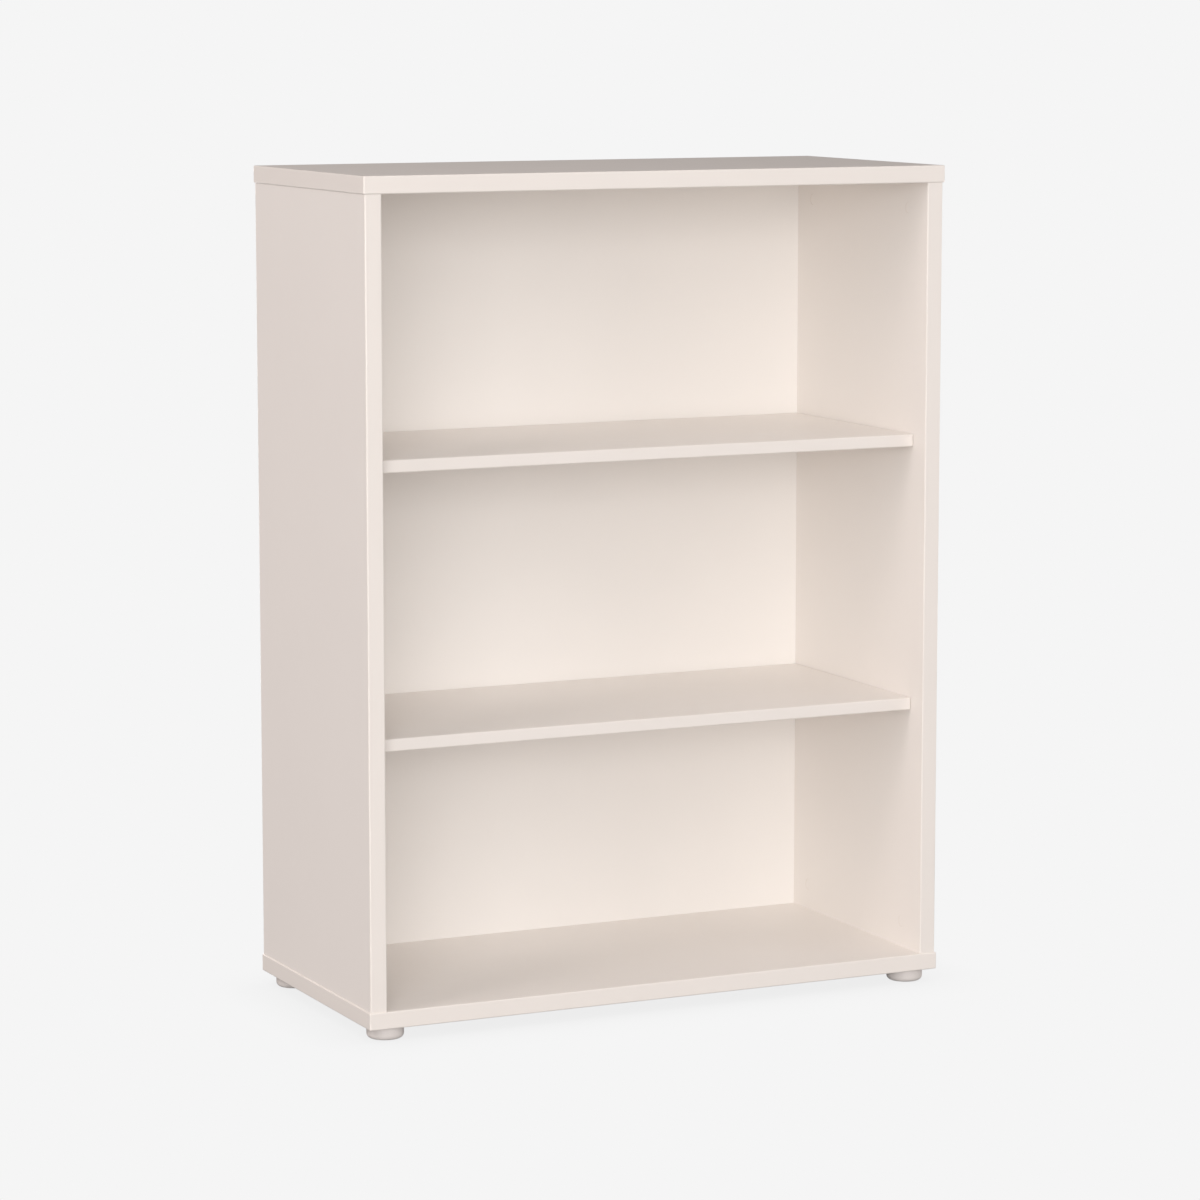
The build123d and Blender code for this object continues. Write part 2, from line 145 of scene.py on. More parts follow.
# ---- Finishes, roughness and pattern ----
MELAMINE_ROUGHNESS = 0.42
LACQUER_ROUGHNESS = 0.48
STRIP_ROUGHNESS = 0.36
FOOT_ROUGHNESS = 0.46
CAP_ROUGHNESS = 0.44
BEECH_ROUGHNESS = 0.62
ZINC_PLATE_ROUGHNESS = 0.32
NICKEL_PLATE_ROUGHNESS = 0.26
DIE_CAST_ROUGHNESS = 0.45
PLATED_STEEL_ROUGHNESS = 0.30
PLATE_GRAIN = 0.8 * MM
DIE_CAST_GRAIN = 1.5 * MM
BOARD_FACE = (0.8, 0.9)  # from chipboard to melamine, by how squarely the surface faces out of the board
CHIP_CONTRAST = 0.22
DRAW_LINE_SQUEEZE = 0.004  # of the pattern along a strip, which draws it out into lines
FLECK_SHADE = 0.55  # of the beech's own colour

# ---- Viewpoint and studio, in metres, degrees and watts ----
CAMERA_PLACE = (-2.343, -4.9326, 1.2771)
CAMERA_TURN = 25.414  # towards the right
CAMERA_TILT = 8.0306  # downwards
CAMERA_LENS = 127.44  # millimetres
CAMERA_SENSOR = 36.0  # millimetres
CAMERA_NEAREST = 0.1
FLOOR_SIZE = 60.0
FLOOR_BOUNCE = 0.25  # share of the lamps' light that the floor sends back up
FLOOR_SHADE_REACH = 0.09  # how near the bookcase the floor's painted shadow reaches
FLOOR_SHADE = 0.88  # the floor's level where its painted shadow is darkest, as a share of the backdrop's
FLOOR_SHADE_SAMPLES = 8
BACKDROP = 0.881  # level that the backdrop and the floor are seen at
LAMP_TINT = (1.0, 0.96, 0.95)
WARM_TINT = (1.0, 0.89, 0.865)
LAMP_SPREAD = 0.46  # width of a lamp for each metre of its distance
LAMPS = {  # turn from the front towards the right, rise above the horizon, distance, power, tint
    "key_lamp": (-30, 4, 12, 550, LAMP_TINT),
    "front_lamp": (-12, 4, 12, 315, LAMP_TINT),
    "front_raised_lamp": (-22, 12, 12, 235, LAMP_TINT),
    "key_high_lamp": (-30, 35, 12, 360, LAMP_TINT),
    "left_lamp": (-80, 35, 7, 207, WARM_TINT),
    "right_lamp": (50, 18, 12, 208, LAMP_TINT),
    "right_rear_lamp": (100, 0, 2.3, 18, WARM_TINT),
    "rear_lamp": (180, 0, 2.3, 26, WARM_TINT),
}
FILL = 0.053  # even light from all round
GAMMA = 1.4  # softens the picture's contrast


# ---- Modelling by hand ----
def add_block(name, low, high):
    """A box between two corners, with its place in its mesh."""
    bpy.ops.object.select_all(action="DESELECT")
    low, high = Vector(low), Vector(high)
    bpy.ops.mesh.primitive_cube_add(size=1, location=(low + high) / 2, scale=high - low)
    return settle(name)


def add_rod(name, base, axis, length, radius, sides):
    """A cylinder from its base along +X or +Z, with its place in its mesh."""
    bpy.ops.object.select_all(action="DESELECT")
    direction = Vector([length if axis == n else 0 for n in (X, Y, Z)])
    turn = (0, math.radians(90), 0) if axis == X else (0, 0, 0)
    place = Vector(base) + direction / 2
    bpy.ops.mesh.primitive_cylinder_add(
        vertices=sides, radius=radius, depth=length, location=place, rotation=turn
    )
    return settle(name)


def settle(name):
    """Name the piece just made, and put its place and turn into its mesh."""
    piece = bpy.context.object
    piece.name = name
    piece.data.name = name
    bpy.ops.object.transform_apply(location=True, rotation=True, scale=True)
    return piece


def start_edit(piece, kind):
    """Edit mode on one piece, with nothing selected."""
    bpy.ops.object.select_all(action="DESELECT")
    bpy.context.view_layer.objects.active = piece
    piece.select_set(True)
    bpy.ops.object.mode_set(mode="EDIT")
    bpy.ops.mesh.select_mode(type=kind)
    bpy.ops.mesh.select_all(action="DESELECT")


def end_edit():
    """Back to object mode."""
    bpy.ops.object.mode_set(mode="OBJECT")


def select_faces(piece, wanted):
    """In edit mode, select the faces that pass a test on their centre and normal."""
    bpy.ops.mesh.select_all(action="DESELECT")
    mesh = bmesh.from_edit_mesh(piece.data)
    mesh.normal_update()
    for face in mesh.faces:
        if wanted(face.calc_center_median(), face.normal):
            face.select_set(True)
    bmesh.update_edit_mesh(piece.data)


def select_edges(piece, wanted):
    """In edit mode, select the edges that pass a test on their two ends."""
    bpy.ops.mesh.select_all(action="DESELECT")
    mesh = bmesh.from_edit_mesh(piece.data)
    for edge in mesh.edges:
        if wanted(edge.verts[0].co, edge.verts[1].co):
            edge.select_set(True)
    bmesh.update_edit_mesh(piece.data)


def select_points(piece, wanted):
    """In edit mode, select the points that pass a test on their place."""
    bpy.ops.mesh.select_all(action="DESELECT")
    mesh = bmesh.from_edit_mesh(piece.data)
    for point in mesh.verts:
        if wanted(point.co):
            point.select_set(True)
    bmesh.update_edit_mesh(piece.data)


def bevel_edges(width, steps):
    """Round or chamfer the selected edges."""
    bpy.ops.mesh.bevel(offset=width, segments=steps, profile=0.5, affect="EDGES", clamp_overlap=False)


def near(a, b):
    """Whether two places along an axis are the same."""
    return abs(a - b) < TINY


def smooth(piece, angle=SMOOTH_ANGLE):
    """Smooth the roundings and keep the flats flat."""
    bpy.ops.object.select_all(action="DESELECT")
    bpy.context.view_layer.objects.active = piece
    piece.select_set(True)
    bpy.ops.object.shade_smooth_by_angle(angle=math.radians(angle))
    modifier = piece.modifiers.new("flats", "WEIGHTED_NORMAL")
    modifier.keep_sharp = True
    bpy.ops.object.modifier_apply(modifier=modifier.name)


def cut_or_join(piece, tool, operation):
    """Cut a tool's shape out of a piece, or join the two into one closed shell."""
    bpy.ops.object.select_all(action="DESELECT")
    bpy.context.view_layer.objects.active = piece
    piece.select_set(True)
    modifier = piece.modifiers.new("shape", "BOOLEAN")
    modifier.operation = operation
    modifier.solver = "EXACT"
    modifier.object = tool
    bpy.ops.object.modifier_apply(modifier=modifier.name)
    bpy.data.objects.remove(tool)


def copy_to(piece, name, shift):
    """A copy with its own mesh, moved in its mesh."""
    bpy.ops.object.select_all(action="DESELECT")
    bpy.context.view_layer.objects.active = piece
    piece.select_set(True)
    bpy.ops.object.duplicate()
    bpy.ops.transform.translate(value=shift)
    return settle(name)


def join(pieces, name):
    """One piece out of several."""
    bpy.ops.object.select_all(action="DESELECT")
    for piece in pieces:
        piece.select_set(True)
    bpy.context.view_layer.objects.active = pieces[0]
    bpy.ops.object.join()
    return settle(name)


def fit(piece, node, body, material):
    """The piece stands for a node, rides on its body and takes its finish."""
    piece.data.materials.clear()
    piece.data.materials.append(material)
    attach(piece, body)
    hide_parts(node)


# ---- Finishes ----
def new_finish(name, color, roughness, metallic=0.0):
    """A material with one shader, its node tree and the shader."""
    material = bpy.data.materials.new(name)
    material.use_nodes = True
    shader = material.node_tree.nodes["Principled BSDF"]
    shader.inputs["Base Color"].default_value = (*color, 1)
    shader.inputs["Roughness"].default_value = roughness
    shader.inputs["Metallic"].default_value = metallic
    return material, material.node_tree, shader


def object_point(tree, stretch=(1, 1, 1)):
    """Places on the piece, squeezed along each axis."""
    place = tree.nodes.new("ShaderNodeTexCoord")
    mapping = tree.nodes.new("ShaderNodeMapping")
    mapping.inputs["Scale"].default_value = stretch
    tree.links.new(place.outputs["Object"], mapping.inputs["Vector"])
    return mapping.outputs["Vector"]


def noise(tree, grain, detail=2.0, stretch=(1, 1, 1)):
    """Noise whose patches are about one grain, in metres, across."""
    texture = tree.nodes.new("ShaderNodeTexNoise")
    texture.inputs["Scale"].default_value = 1 / grain
    texture.inputs["Detail"].default_value = detail
    tree.links.new(object_point(tree, stretch), texture.inputs["Vector"])
    return texture.outputs["Fac"]


def cells(tree, grain, stretch=(1, 1, 1)):
    """Colour of random cells about one grain, in metres, across."""
    texture = tree.nodes.new("ShaderNodeTexVoronoi")
    texture.inputs["Scale"].default_value = 1 / grain
    tree.links.new(object_point(tree, stretch), texture.inputs["Vector"])
    return texture.outputs["Color"]


def map_range(tree, value, low, high, source=(0.3, 0.7)):
    """Turn the source range of a value into low to high, and stop at both ends."""
    node = tree.nodes.new("ShaderNodeMapRange")
    node.inputs["From Min"].default_value = source[0]
    node.inputs["From Max"].default_value = source[1]
    node.inputs["To Min"].default_value = low
    node.inputs["To Max"].default_value = high
    tree.links.new(value, node.inputs["Value"])
    return node.outputs["Result"]


def mix_colors(tree, factor, first, second, blend="MIX"):
    """Mix two colours, each a value or the output of a node."""
    node = tree.nodes.new("ShaderNodeMix")
    node.data_type = "RGBA"
    node.blend_type = blend
    # The node's sockets share their names, so the factor's, the two colours' and the result's go by number.
    for socket, value in ((node.inputs[0], factor), (node.inputs[6], first), (node.inputs[7], second)):
        if isinstance(value, bpy.types.NodeSocket):
            tree.links.new(value, socket)
        elif isinstance(value, tuple):
            socket.default_value = (*value, 1)
        else:
            socket.default_value = value
    return node.outputs[2]


def shades(tree, value, color, spread):
    """The colour, a little darker or lighter by a value."""
    dark = tuple(channel * (1 - spread) for channel in color)
    light = tuple(min(channel * (1 + spread), 1) for channel in color)
    return mix_colors(tree, map_range(tree, value, 0, 1), dark, light)


def relief(tree, shader, *layers):
    """Bump from one or more layers of (height, depth in metres)."""
    normal = None
    for height, depth in layers:
        node = tree.nodes.new("ShaderNodeBump")
        node.inputs["Distance"].default_value = depth
        tree.links.new(height, node.inputs["Height"])
        if normal:
            tree.links.new(normal, node.inputs["Normal"])
        normal = node.outputs["Normal"]
    tree.links.new(normal, shader.inputs["Normal"])


def board_finish(name, axis):
    """Cream melamine on a board's two faces, and bare chipboard on its cuts and in its bores."""
    material, tree, shader = new_finish(name, CREAM, MELAMINE_ROUGHNESS)
    place = tree.nodes.new("ShaderNodeTexCoord")
    normal = tree.nodes.new("ShaderNodeSeparateXYZ")
    tree.links.new(place.outputs["Normal"], normal.inputs["Vector"])
    facing = tree.nodes.new("ShaderNodeMath")
    facing.operation = "ABSOLUTE"
    tree.links.new(normal.outputs[axis], facing.inputs[0])
    face = map_range(tree, facing.outputs[0], 0, 1, source=BOARD_FACE)
    clouds = noise(tree, grain=140 * MM, detail=2)
    pearl = noise(tree, grain=1.1 * MM, detail=3)
    melamine = shades(tree, clouds, CREAM, spread=0.006)
    chips = cells(tree, grain=2.2 * MM, stretch=(1, 0.45, 1))
    dust = shades(tree, noise(tree, grain=3 * MM, detail=4), CHIPBOARD, spread=0.25)
    chipboard = mix_colors(tree, CHIP_CONTRAST, dust, chips, "SOFT_LIGHT")
    tree.links.new(mix_colors(tree, face, chipboard, melamine), shader.inputs["Base Color"])
    satin = map_range(tree, noise(tree, grain=18 * MM, detail=3), low=0.39, high=0.46)
    tree.links.new(satin, shader.inputs["Roughness"])
    waves = noise(tree, grain=40 * MM, detail=1)
    relief(tree, shader, (pearl, 0.012 * MM), (waves, 0.05 * MM))
    return material


def back_finish():
    """Cream lacquer on thin hardboard: a soft orange-peel surface."""
    material, tree, shader = new_finish("lacquered_hardboard", BACK_CREAM, LACQUER_ROUGHNESS)
    clouds = noise(tree, grain=90 * MM, detail=3)
    tree.links.new(shades(tree, clouds, BACK_CREAM, spread=0.007), shader.inputs["Base Color"])
    satin = map_range(tree, noise(tree, grain=12 * MM, detail=3), low=0.44, high=0.52)
    tree.links.new(satin, shader.inputs["Roughness"])
    peel = noise(tree, grain=3.5 * MM, detail=2)
    waves = noise(tree, grain=110 * MM, detail=1)
    relief(tree, shader, (peel, 0.02 * MM), (waves, 0.25 * MM))
    return material


def strip_finish(name, axis):
    """Satin plastic edge strip, with faint draw lines along its length."""
    along = tuple(DRAW_LINE_SQUEEZE if n == axis else 1 for n in (X, Y, Z))
    material, tree, shader = new_finish(name, STRIP_CREAM, STRIP_ROUGHNESS)
    lines = noise(tree, grain=0.5 * MM, detail=2, stretch=along)
    clouds = noise(tree, grain=70 * MM, detail=2)
    tree.links.new(shades(tree, clouds, STRIP_CREAM, spread=0.006), shader.inputs["Base Color"])
    tree.links.new(map_range(tree, lines, low=0.33, high=0.40), shader.inputs["Roughness"])
    pearl = noise(tree, grain=0.9 * MM, detail=2)
    relief(tree, shader, (lines, 0.008 * MM), (pearl, 0.006 * MM))
    return material


def moulded_finish(name, color, roughness):
    """Moulded plastic with a fine spark-eroded skin."""
    material, tree, shader = new_finish(name, color, roughness)
    skin = noise(tree, grain=0.45 * MM, detail=3)
    clouds = noise(tree, grain=9 * MM, detail=3)
    tree.links.new(shades(tree, clouds, color, spread=0.012), shader.inputs["Base Color"])
    tree.links.new(map_range(tree, skin, roughness - 0.04, roughness + 0.05), shader.inputs["Roughness"])
    relief(tree, shader, (skin, 0.02 * MM))
    return material


def beech_finish():
    """Bare beech with its grain and short dark flecks along the dowel."""
    material, tree, shader = new_finish("bare_beech", BEECH, BEECH_ROUGHNESS)
    grain = noise(tree, grain=0.8 * MM, detail=4, stretch=(1, 1, 0.05))
    rays = noise(tree, grain=0.5 * MM, detail=2, stretch=(1, 1, 0.25))
    flecks = map_range(tree, rays, 0, 1, source=(0.60, 0.70))
    wood = shades(tree, grain, BEECH, spread=0.16)
    dark = tuple(channel * FLECK_SHADE for channel in BEECH)
    tree.links.new(mix_colors(tree, flecks, wood, dark), shader.inputs["Base Color"])
    tree.links.new(map_range(tree, grain, low=0.56, high=0.70), shader.inputs["Roughness"])
    relief(tree, shader, (grain, 0.03 * MM))
    return material


def metal_finish(name, color, roughness, grain):
    """Plated or cast metal, with a mottled sheen."""
    material, tree, shader = new_finish(name, color, roughness, metallic=1.0)
    mottle = noise(tree, grain, detail=4)
    tree.links.new(shades(tree, mottle, color, spread=0.05), shader.inputs["Base Color"])
    tree.links.new(map_range(tree, mottle, roughness - 0.06, roughness + 0.08), shader.inputs["Roughness"])
    relief(tree, shader, (mottle, 0.01 * MM))
    return material


# ---- Edge strips ----
def edge_strip(node, name, axis, side, ends):
    """A strip on the side of a board that faces one way along an axis.

    Its ends are "butted" square, "faced" with the rounding carried round the outer face, or "wrapped" with
    the rounding carried round the board's corners too.
    """
    low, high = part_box(node)
    size = high - low
    length = max(range(3), key=lambda n: size[n])
    outer = high[axis] if side > 0 else low[axis]
    inner = low[axis] if side > 0 else high[axis]
    piece = add_block(name, low, high)
    thick = size[axis] > STRIP_ROUNDING

    def on_outer_rim(a, b):
        """Whether the edge between two points is one that the rounding takes."""
        if near(a[axis], outer) and near(b[axis], outer):
            return ends != "butted" or not near(a[length], b[length])
        return ends == "wrapped" and not near(a[axis], b[axis])

    def on_glue_line(a, b):
        """Whether the edge between two points runs along the board that the strip is glued to."""
        return near(a[axis], inner) and near(b[axis], inner) and not near(a[length], b[length])

    start_edit(piece, "EDGE")
    select_edges(piece, on_outer_rim)
    if thick:
        bevel_edges(STRIP_ROUNDING, STRIP_ROUNDING_STEPS)
    else:
        bevel_edges(THIN_STRIP_ROUNDING, THIN_STRIP_ROUNDING_STEPS)
    select_edges(piece, on_glue_line)
    bevel_edges(GLUE_LINE, 1)
    end_edit()
    smooth(piece)
    return piece, length


def fit_strips(finishes):
    """Every edge strip of the carcass and the shelves."""
    sides = {"front": (Y, -1), "rear": (Y, 1), "left": (X, -1), "right": (X, 1)}
    plan = []
    for panel in ("top_panel", "bottom_panel"):
        for side, (axis, way) in sides.items():
            ends = "wrapped" if axis == Y else "butted"
            plan.append((f"{panel}_{side}", axis, way, ends, "carcass"))
    for panel in ("left_side", "right_side"):
        for side in ("front", "rear"):
            plan.append((f"{panel}_{side}", *sides[side], "butted", "carcass"))
    for shelf in ("lower_shelf", "upper_shelf"):
        for side, (axis, way) in sides.items():
            ends = "faced" if side == "front" else "butted"
            plan.append((f"{shelf}_{side}", axis, way, ends, f"{shelf}_body"))
    for place, axis, way, ends, body in plan:
        node = f"{place}_edge_band"
        piece, length = edge_strip(node, f"{place}_strip", axis, way, ends)
        fit(piece, node, body, finishes[length])


# ---- Feet ----
def turn_foot(name, low, high):
    """A moulded foot: round, with a softly rounded lower rim, hollow and ribbed below round a screw boss."""
    middle = (low + high) / 2
    radius, floor, top = (high.x - low.x) / 2, low.z, high.z
    roof = top - FOOT_ROOF
    hollow = radius - FOOT_ROUNDING - FOOT_TREAD
    rib_foot = floor + FOOT_RIB_SETBACK
    piece = add_rod(name, (middle.x, middle.y, floor), Z, top - floor, radius, FOOT_SIDES)
    start_edit(piece, "EDGE")
    select_edges(piece, lambda a, b: near(a.z, floor) and near(b.z, floor))
    bevel_edges(FOOT_ROUNDING, FOOT_ROUNDING_STEPS)
    select_edges(piece, lambda a, b: near(a.z, top) and near(b.z, top))
    bevel_edges(FOOT_TOP_ROUNDING, FOOT_TOP_ROUNDING_STEPS)
    bpy.ops.mesh.select_mode(type="FACE")

    def sink(level, facing, reach, depth):
        """Inset the disc at one height by a reach, then push it up or down by a depth."""
        select_faces(piece, lambda c, n: near(c.z, level) and n.z * facing > SQUARE_ON and disc(c))
        bpy.ops.mesh.inset(thickness=reach, depth=0)
        bpy.ops.mesh.extrude_region_move(TRANSFORM_OT_translate={"value": (0, 0, depth)})

    def disc(centre):
        """Whether a face is centred on the foot's axis."""
        return math.hypot(centre.x - middle.x, centre.y - middle.y) < TINY

    sink(floor, -1, FOOT_TREAD, roof - floor)
    sink(roof, -1, hollow - FOOT_BOSS_RADIUS, rib_foot - roof)
    sink(rib_foot, -1, FOOT_BOSS_RADIUS - COUNTERBORE_RADIUS, COUNTERBORE_ROOF - rib_foot)
    select_faces(piece, lambda c, n: near(c.z, COUNTERBORE_ROOF) and n.z < -SQUARE_ON and disc(c))
    bpy.ops.mesh.inset(thickness=COUNTERBORE_RADIUS - SCREW_HOLE_RADIUS, depth=0)
    select_faces(piece, lambda c, n: near(c.z, top) and n.z > SQUARE_ON and disc(c))
    bpy.ops.mesh.inset(thickness=radius - FOOT_TOP_ROUNDING - SCREW_HOLE_RADIUS, depth=0)
    select_faces(piece, lambda c, n: disc(c) and (near(c.z, top) or near(c.z, COUNTERBORE_ROOF)))
    bpy.ops.mesh.bridge_edge_loops()
    end_edit()
    add_ribs(piece, middle, hollow, rib_foot, roof)
    smooth(piece, FOOT_SMOOTH_ANGLE)
    return piece


def add_ribs(piece, middle, hollow, low, high):
    """Radial ribs between the foot's boss and its wall."""
    inner, outer = FOOT_BOSS_RADIUS - FOOT_RIB_OVERLAP, hollow + FOOT_RIB_OVERLAP
    half = FOOT_RIB_WIDTH / 2
    for n in range(FOOT_RIBS):
        rib = add_block("rib", (inner, -half, low), (outer, half, high + FOOT_RIB_OVERLAP))
        bpy.ops.transform.rotate(
            value=math.radians(-n * 360 / FOOT_RIBS), orient_axis="Z", center_override=(0, 0, 0)
        )
        bpy.ops.transform.translate(value=(middle.x, middle.y, 0))
        settle("rib")
        cut_or_join(piece, rib, "UNION")


def fit_feet(finish):
    """Four feet, the first one modelled and the others copied from it."""
    first_node = "front_left_foot"
    low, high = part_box(first_node)
    first = turn_foot("front_left_glide", low, high)
    glides = {first_node: first}
    for place in ("front_right", "rear_left", "rear_right"):
        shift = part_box(f"{place}_foot")[0] - low
        glides[f"{place}_foot"] = copy_to(first, f"{place}_glide", shift)
    for node, piece in glides.items():
        fit(piece, node, "carcass", finish)


# ---- Foot screws ----
def turn_screw(name, place, seat, tip):
    """A pan-head screw pointing up, with a cross recess and a coarse thread."""
    x, y = place
    head_low = seat - SCREW_HEAD_HEIGHT
    head = add_rod(name, (x, y, head_low), Z, SCREW_HEAD_HEIGHT, SCREW_HEAD_RADIUS, SCREW_SIDES)
    start_edit(head, "EDGE")
    select_edges(head, lambda a, b: near(a.z, head_low) and near(b.z, head_low))
    bevel_edges(SCREW_HEAD_ROUNDING, SCREW_HEAD_ROUNDING_STEPS)
    bpy.ops.mesh.select_mode(type="FACE")
    select_faces(head, lambda c, n: near(c.z, seat) and n.z > SQUARE_ON)
    bpy.ops.mesh.inset(thickness=SCREW_HEAD_RADIUS - SCREW_CORE_RADIUS, depth=0)
    level = seat
    for n in range(int((tip - seat) / SCREW_THREAD_PITCH) - 1):
        for rise, grow in SCREW_THREAD:
            step = rise * SCREW_THREAD_PITCH
            level += step
            bpy.ops.mesh.extrude_region_move(TRANSFORM_OT_translate={"value": (0, 0, step)})
            bpy.ops.transform.resize(value=(grow, grow, 1), center_override=(x, y, level))
    bpy.ops.mesh.extrude_region_move(TRANSFORM_OT_translate={"value": (0, 0, tip - level)})
    bpy.ops.transform.resize(value=(SCREW_POINT, SCREW_POINT, 1), center_override=(x, y, tip))
    end_edit()
    half, arm = SCREW_RECESS_WIDTH / 2, SCREW_RECESS_LENGTH / 2
    below, above = head_low - MM, head_low + SCREW_RECESS_DEPTH
    bar = add_block("recess", (x - arm, y - half, below), (x + arm, y + half, above))
    cut_or_join(head, bar, "DIFFERENCE")
    bar = add_block("recess", (x - half, y - arm, below), (x + half, y + arm, above))
    cut_or_join(head, bar, "DIFFERENCE")
    smooth(head)
    return head


def fit_screws(finish):
    """One screw through each foot."""
    low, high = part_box("foot_screws")
    seat = low.z + SCREW_HEAD_HEIGHT
    places = []
    for foot in ("front_left", "front_right", "rear_left", "rear_right"):
        foot_low, foot_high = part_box(f"{foot}_foot")
        middle = (foot_low + foot_high) / 2
        places.append((middle.x, middle.y))
    first = turn_screw("foot_screw", places[0], seat, high.z)
    screws = [first]
    for x, y in places[1:]:
        screws.append(copy_to(first, "foot_screw", (x - places[0][0], y - places[0][1], 0)))
    fit(join(screws, "glide_screws"), "foot_screws", "carcass", finish)


# ---- Shelf pins ----
def turn_pin(name, face, place, side):
    """A pin out of a side panel's face, with a collar and a planed top under the shelf."""
    y, z = place
    nose, root = face - side * PIN_REACH, face + side * PIN_IN_SIDE
    collar = face - side * PIN_COLLAR
    start = min(nose, root)
    piece = add_rod(name, (start, y, z), X, abs(root - nose), PIN_RADIUS, PIN_SIDES)
    start_edit(piece, "EDGE")
    for end, width in ((nose, PIN_NOSE_ROUNDING), (root, PIN_ROOT_ROUNDING)):
        select_edges(piece, lambda a, b: near(a.x, end) and near(b.x, end))
        bevel_edges(width, PIN_ROUNDING_STEPS)
    bpy.ops.mesh.select_all(action="SELECT")
    bpy.ops.mesh.bisect(plane_co=(collar, y, z), plane_no=(1, 0, 0))
    bpy.ops.mesh.select_all(action="SELECT")
    bpy.ops.mesh.bisect(plane_co=(face, y, z), plane_no=(1, 0, 0))
    bpy.ops.mesh.select_mode(type="FACE")
    middle = (face + collar) / 2
    select_faces(piece, lambda c, n: near(c.x, middle))
    bpy.ops.mesh.extrude_region_shrink_fatten(
        TRANSFORM_OT_shrink_fatten={"value": PIN_COLLAR_RADIUS - PIN_RADIUS}
    )
    bpy.ops.mesh.select_mode(type="VERT")

    def above_flat(co):
        """Whether a point is on the pin's nose side of the collar, above the flat."""
        before_collar = (co.x - collar) * side < TINY
        on_shank = math.hypot(co.y - y, co.z - z) < PIN_RADIUS + TINY
        return before_collar and on_shank and co.z > z + PIN_FLAT

    select_points(piece, above_flat)
    bpy.ops.transform.resize(value=(1, 1, 0), center_override=(face, y, z + PIN_FLAT))
    end_edit()
    smooth(piece)
    return piece


def fit_pins(finish):
    """Four pins under each shelf."""
    sides = {"left": -1, "right": 1}
    for shelf in ("lower_shelf", "upper_shelf"):
        node = f"{shelf}_pins"
        low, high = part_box(node)
        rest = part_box(shelf)[0].z
        z = rest - PIN_FLAT
        rows = (low.y + PIN_COLLAR_RADIUS, high.y - PIN_COLLAR_RADIUS)
        pins = []
        for side, way in sides.items():
            panel_low, panel_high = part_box(f"{side}_side_panel")
            face = panel_high.x if way < 0 else panel_low.x
            for y in rows:
                pins.append(turn_pin("pin", face, (y, z), way))
        fit(join(pins, f"{shelf}_rests"), node, "carcass", finish)


# ---- Cover caps ----
def turn_cap(name, face, place, radius, thickness, way):
    """A cap flush with a side panel's face, with a soft rim and a shallow dish."""
    y, z = place
    back = face + way * thickness
    start = min(face, back)
    piece = add_rod(name, (start, y, z), X, thickness, radius, CAP_SIDES)
    start_edit(piece, "EDGE")
    select_edges(piece, lambda a, b: near(a.x, face) and near(b.x, face))
    bevel_edges(CAP_RIM_ROUNDING, CAP_ROUNDING_STEPS)
    bpy.ops.mesh.select_mode(type="FACE")
    select_faces(piece, lambda c, n: near(c.x, face) and abs(n.x) > SQUARE_ON)
    bpy.ops.mesh.inset(thickness=CAP_DISH_INSET, depth=0)
    bpy.ops.mesh.inset(thickness=CAP_DISH_SLOPE, depth=-CAP_DISH_DEPTH)
    end_edit()
    smooth(piece)
    return piece


def fit_caps(finish):
    """Two caps over the cam locks at each end of each side panel."""
    for end in ("bottom", "top"):
        for side, way in (("left", -1), ("right", 1)):
            node = f"{end}_{side}_cover_caps"
            low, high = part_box(node)
            radius = (high.z - low.z) / 2
            z = (low.z + high.z) / 2
            face = high.x if way < 0 else low.x
            rows = (low.y + radius, high.y - radius)
            caps = [turn_cap("cap", face, (y, z), radius, high.x - low.x, way) for y in rows]
            fit(join(caps, f"{end}_{side}_caps"), node, "carcass", finish)


# ---- Boards and fittings that keep their shape ----
def finish_nodes(finishes):
    """Give each node that stays its finish."""
    for name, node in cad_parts.items():
        if node.hide_render:
            continue
        if name == "back_panel":
            finish = finishes["back"]
        elif name.endswith("side_panel"):
            finish = finishes["upright"]
        elif name.endswith(("_panel", "_shelf")):
            finish = finishes["level"]
        elif name.endswith("_dowels"):
            finish = finishes["beech"]
        elif name.endswith("_cam_locks"):
            finish = finishes["zinc"]
        else:
            finish = finishes["plated"]
        node.data.materials.clear()
        node.data.materials.append(finish)


# ---- Viewpoint and studio ----
def set_camera():
    """The camera, a little above the top and to the left of the front."""
    data = bpy.data.cameras.new("camera")
    data.lens = CAMERA_LENS
    data.sensor_width = CAMERA_SENSOR
    data.clip_start = CAMERA_NEAREST
    data.clip_end = 2 * FLOOR_SIZE
    camera = bpy.data.objects.new("camera", data)
    camera.location = CAMERA_PLACE
    camera.rotation_euler = (math.radians(90 - CAMERA_TILT), 0, math.radians(-CAMERA_TURN))
    bpy.context.collection.objects.link(camera)
    bpy.context.scene.camera = camera


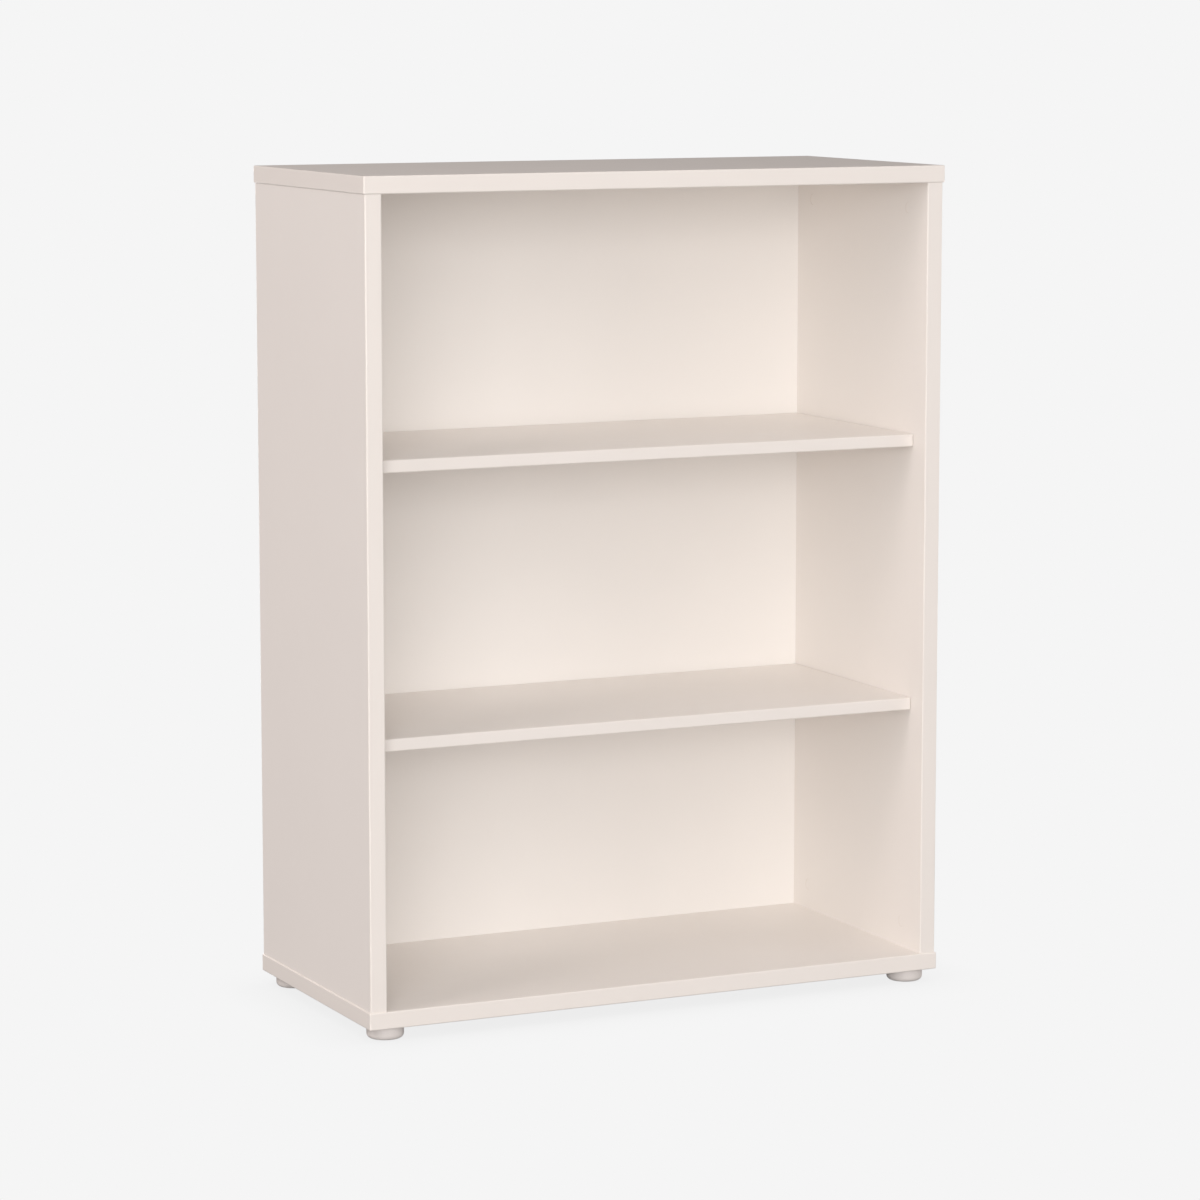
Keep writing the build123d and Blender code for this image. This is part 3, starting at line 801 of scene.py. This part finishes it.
def set_floor():
    """A pale seamless floor with a painted shadow only close under the bookcase, and see-through from below.
    """
    bpy.ops.object.select_all(action="DESELECT")
    bpy.ops.mesh.primitive_plane_add(size=FLOOR_SIZE)
    floor = bpy.context.object
    floor.name = "floor"
    material = bpy.data.materials.new("floor")
    material.use_nodes = True
    tree = material.node_tree
    tree.nodes.clear()
    bounce = tree.nodes.new("ShaderNodeBsdfDiffuse")
    bounce.inputs["Color"].default_value = (FLOOR_BOUNCE, FLOOR_BOUNCE, FLOOR_BOUNCE, 1)
    # Painted shadow: the glow that the camera sees is dimmed by occlusion near the bookcase; the lamps don't
    # cast this darkening.
    shade = tree.nodes.new("ShaderNodeAmbientOcclusion")
    shade.samples = FLOOR_SHADE_SAMPLES
    shade.inputs["Distance"].default_value = FLOOR_SHADE_REACH
    seen = tree.nodes.new("ShaderNodeEmission")
    level = map_range(tree, shade.outputs["AO"], FLOOR_SHADE * BACKDROP, BACKDROP, source=(0, 1))
    tree.links.new(level, seen.inputs["Strength"])
    path = tree.nodes.new("ShaderNodeLightPath")
    upper = tree.nodes.new("ShaderNodeMixShader")
    tree.links.new(path.outputs["Is Camera Ray"], upper.inputs[0])
    tree.links.new(bounce.outputs[0], upper.inputs[1])
    tree.links.new(seen.outputs[0], upper.inputs[2])
    side = tree.nodes.new("ShaderNodeNewGeometry")
    clear = tree.nodes.new("ShaderNodeBsdfTransparent")
    both = tree.nodes.new("ShaderNodeMixShader")
    tree.links.new(side.outputs["Backfacing"], both.inputs[0])
    tree.links.new(upper.outputs[0], both.inputs[1])
    tree.links.new(clear.outputs[0], both.inputs[2])
    output = tree.nodes.new("ShaderNodeOutputMaterial")
    tree.links.new(both.outputs[0], output.inputs["Surface"])
    floor.data.materials.append(material)


def set_world():
    """An even pale backdrop, with a weaker fill for the light that it sheds."""
    world = bpy.data.worlds.new("studio")
    bpy.context.scene.world = world
    world.use_nodes = True
    tree = world.node_tree
    fill = tree.nodes["Background"]
    fill.inputs["Color"].default_value = (*LAMP_TINT, 1)
    fill.inputs["Strength"].default_value = FILL
    seen = tree.nodes.new("ShaderNodeBackground")
    seen.inputs["Color"].default_value = (1, 1, 1, 1)
    seen.inputs["Strength"].default_value = BACKDROP
    path = tree.nodes.new("ShaderNodeLightPath")
    mix = tree.nodes.new("ShaderNodeMixShader")
    tree.links.new(path.outputs["Is Camera Ray"], mix.inputs[0])
    tree.links.new(fill.outputs[0], mix.inputs[1])
    tree.links.new(seen.outputs[0], mix.inputs[2])
    tree.links.new(mix.outputs[0], tree.nodes["World Output"].inputs["Surface"])


def set_lamps():
    """Soft boxes round the bookcase, each facing its middle."""
    middle = (CAD_LOW + CAD_HIGH) / 2
    for name, (turn, rise, distance, power, tint) in LAMPS.items():
        data = bpy.data.lights.new(name, "AREA")
        data.shape = "SQUARE"
        data.size = LAMP_SPREAD * distance
        data.energy = power
        data.color = tint
        lamp = bpy.data.objects.new(name, data)
        bearing, height = math.radians(turn), math.radians(rise)
        away = Vector((
            math.sin(bearing) * math.cos(height),
            -math.cos(bearing) * math.cos(height),
            math.sin(height),
        ))
        lamp.location = middle + away * distance
        lamp.rotation_mode = "QUATERNION"
        lamp.rotation_quaternion = away.to_track_quat("Z", "Y")
        lamp.visible_camera = False
        bpy.context.collection.objects.link(lamp)


def build():
    """Every piece of the bookcase, with its finish."""
    fit_strips({axis: strip_finish(f"edge_strip_{letter}", axis) for axis, letter in enumerate("xyz")})
    fit_feet(moulded_finish("foot_plastic", FOOT_CREAM, FOOT_ROUGHNESS))
    fit_screws(metal_finish("zinc_plate", PLATED_STEEL, ZINC_PLATE_ROUGHNESS, PLATE_GRAIN))
    fit_pins(metal_finish("nickel_plate", NICKEL, NICKEL_PLATE_ROUGHNESS, PLATE_GRAIN))
    fit_caps(moulded_finish("cap_plastic", CREAM, CAP_ROUGHNESS))
    finish_nodes({
        "back": back_finish(),
        "upright": board_finish("upright_board", X),
        "level": board_finish("level_board", Z),
        "beech": beech_finish(),
        "zinc": metal_finish("die_cast_zinc", ZINC, DIE_CAST_ROUGHNESS, DIE_CAST_GRAIN),
        "plated": metal_finish("plated_steel", PLATED_STEEL, PLATED_STEEL_ROUGHNESS, PLATE_GRAIN),
    })


build()
set_camera()
set_floor()
set_world()
set_lamps()
bpy.context.scene.view_settings.view_transform = "Standard"
bpy.context.scene.view_settings.gamma = GAMMA
